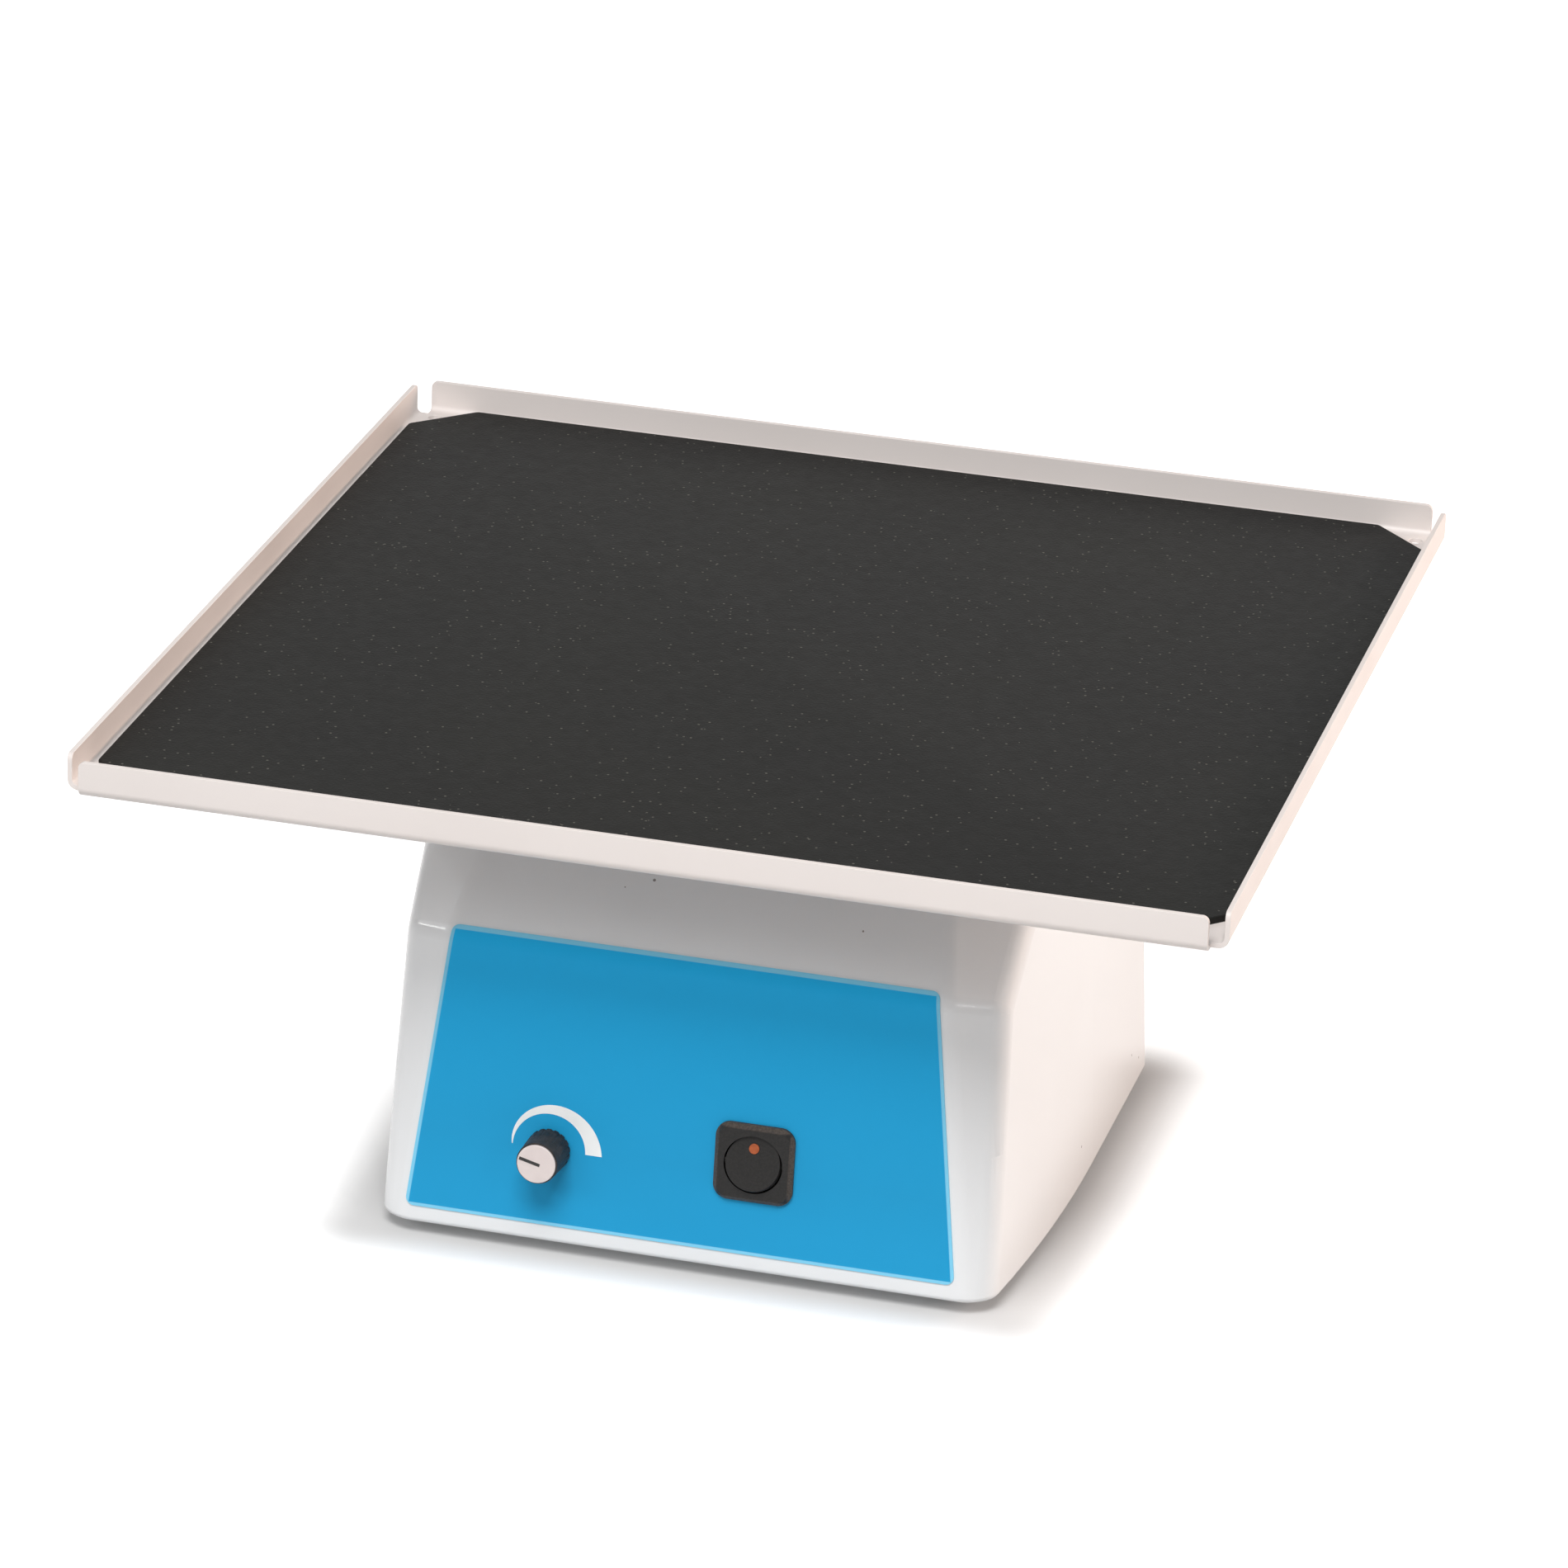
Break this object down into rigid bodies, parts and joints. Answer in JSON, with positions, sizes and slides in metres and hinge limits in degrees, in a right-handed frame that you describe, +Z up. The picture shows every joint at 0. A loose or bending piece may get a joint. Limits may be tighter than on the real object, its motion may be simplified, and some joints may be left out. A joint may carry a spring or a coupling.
{
  "type": "orbital shaker",
  "caption": "Bench orbital shaker: a level square tray with a dark mat, carried round a small circle on a tapered housing with a blue front panel.",
  "frame": {"origin": "on the floor under the middle of the tray", "axes": "+Z up, the sloping front with its knob and switch faces -Y, +X to its right"},
  "size_m": [0.335, 0.335, 0.166],
  "materials": {
    "housing_plastic": "satin, off-white",
    "tray_paint": "smooth white powder coat",
    "mat_rubber": "ribbed, matte",
    "foot_rubber": "matte",
    "label_film": "blue printed film",
    "knob_plastic": "satin black",
    "knob_cap_plastic": "satin, pale",
    "pointer_ink": "black",
    "switch_plastic": "satin black",
    "lens_plastic": "amber",
    "inlet_plastic": "black",
    "pin_nickel": "nickel plate",
    "steel_sheet": "zinc plated",
    "steel": "turned",
    "screw_steel": "zinc plated",
    "bearing_steel": "polished",
    "aluminium": "machined",
    "cast_aluminium": "sand cast",
    "motor_steel": "black enamel",
    "belt_rubber": "matte",
    "pot_metal": "plated",
    "board_laminate": "green lacquer",
    "standoff_brass": "plain",
    "component_plastic": "moulded",
    "core_steel": "lacquered laminations",
    "coil_copper": "taped winding"
  },
  "bodies": {
    "base": {"housing_shell": "housing_plastic", "base_plate": "steel_sheet", "rubber_feet": "foot_rubber", "foot_screws": "screw_steel", "support_pillars": "aluminium", "pillar_screws": "screw_steel", "drive_plate": "aluminium", "main_bearing_housing": "aluminium", "bearing_housing_screws": "screw_steel", "main_bearings": "bearing_steel", "idler_bearing_cups": "steel", "idler_lower_bearings": "bearing_steel", "drive_belt": "belt_rubber", "drive_motor": "motor_steel", "motor_bracket": "steel_sheet", "motor_screws": "screw_steel", "bracket_screws": "screw_steel", "front_label": "label_film", "speed_potentiometer": "pot_metal", "potentiometer_nut": "steel", "switch_body": "switch_plastic", "mains_inlet": "inlet_plastic", "inlet_pins": "pin_nickel", "inlet_screws": "screw_steel", "control_board": "board_laminate", "board_standoffs": "standoff_brass", "board_screws": "screw_steel", "board_components": "component_plastic", "heat_sink": "aluminium", "transformer_core": "core_steel", "transformer_coil": "coil_copper", "transformer_strap": "steel_sheet", "strap_screws": "screw_steel"},
    "crank": {"eccentric_crank": "steel", "main_shaft": "steel", "counterweight": "steel", "counterweight_screws": "screw_steel", "driven_pulley": "aluminium", "pulley_grub_screw": "screw_steel"},
    "platform": {"carriage": "cast_aluminium", "carriage_bearing": "bearing_steel", "carriage_idler_bearings": "bearing_steel", "tray": "tray_paint", "tray_screws": "screw_steel", "mat": "mat_rubber"},
    "motor_rotor": {"motor_shaft": "steel", "motor_pulley": "aluminium"},
    "idler_left": {"idler_crank_left": "steel"},
    "idler_right": {"idler_crank_right": "steel"},
    "idler_rear": {"idler_crank_rear": "steel"},
    "knob": {"knob_body": "knob_plastic", "knob_cap": "knob_cap_plastic", "knob_pointer": "pointer_ink", "potentiometer_shaft": "steel"},
    "rocker": {"switch_rocker": "switch_plastic", "rocker_lens": "lens_plastic"}
  },
  "joints": [
    {"name": "crank_spin", "type": "hinge", "parent": "base", "child": "crank", "pos_m": [0, -0.008, 0.111], "axis": [0, 0, 1], "continuous": true},
    {"name": "platform_orbit", "type": "hinge", "parent": "crank", "child": "platform", "pos_m": [0, 0, 0.143], "axis": [0, 0, 1], "continuous": true},
    {"name": "motor_spin", "type": "hinge", "parent": "base", "child": "motor_rotor", "pos_m": [0, 0.048, 0.065], "axis": [0, 0, 1], "continuous": true},
    {"name": "idler_left_spin", "type": "hinge", "parent": "base", "child": "idler_left", "pos_m": [-0.0433, -0.033, 0.11], "axis": [0, 0, 1], "continuous": true},
    {"name": "idler_right_spin", "type": "hinge", "parent": "base", "child": "idler_right", "pos_m": [0.0433, -0.033, 0.11], "axis": [0, 0, 1], "continuous": true},
    {"name": "idler_rear_spin", "type": "hinge", "parent": "base", "child": "idler_rear", "pos_m": [0, 0.042, 0.11], "axis": [0, 0, 1], "continuous": true},
    {"name": "speed_knob_turn", "type": "hinge", "parent": "base", "child": "knob", "pos_m": [-0.0415, -0.09926, 0.03347], "axis": [0, 0.9956, -0.0941], "range_deg": [-59, 211]},
    {"name": "power_rocker_tilt", "type": "hinge", "parent": "base", "child": "rocker", "pos_m": [0.0205, -0.09937, 0.0387], "axis": [1, 0, 0], "range_deg": [0, 28]}
  ],
  "couplings": [
    {"joint": "platform_orbit", "follows": "crank_spin", "ratio": -1},
    {"joint": "motor_spin", "follows": "crank_spin", "ratio": 4},
    {"joint": "idler_left_spin", "follows": "crank_spin", "ratio": 1},
    {"joint": "idler_right_spin", "follows": "crank_spin", "ratio": 1},
    {"joint": "idler_rear_spin", "follows": "crank_spin", "ratio": 1}
  ]
}
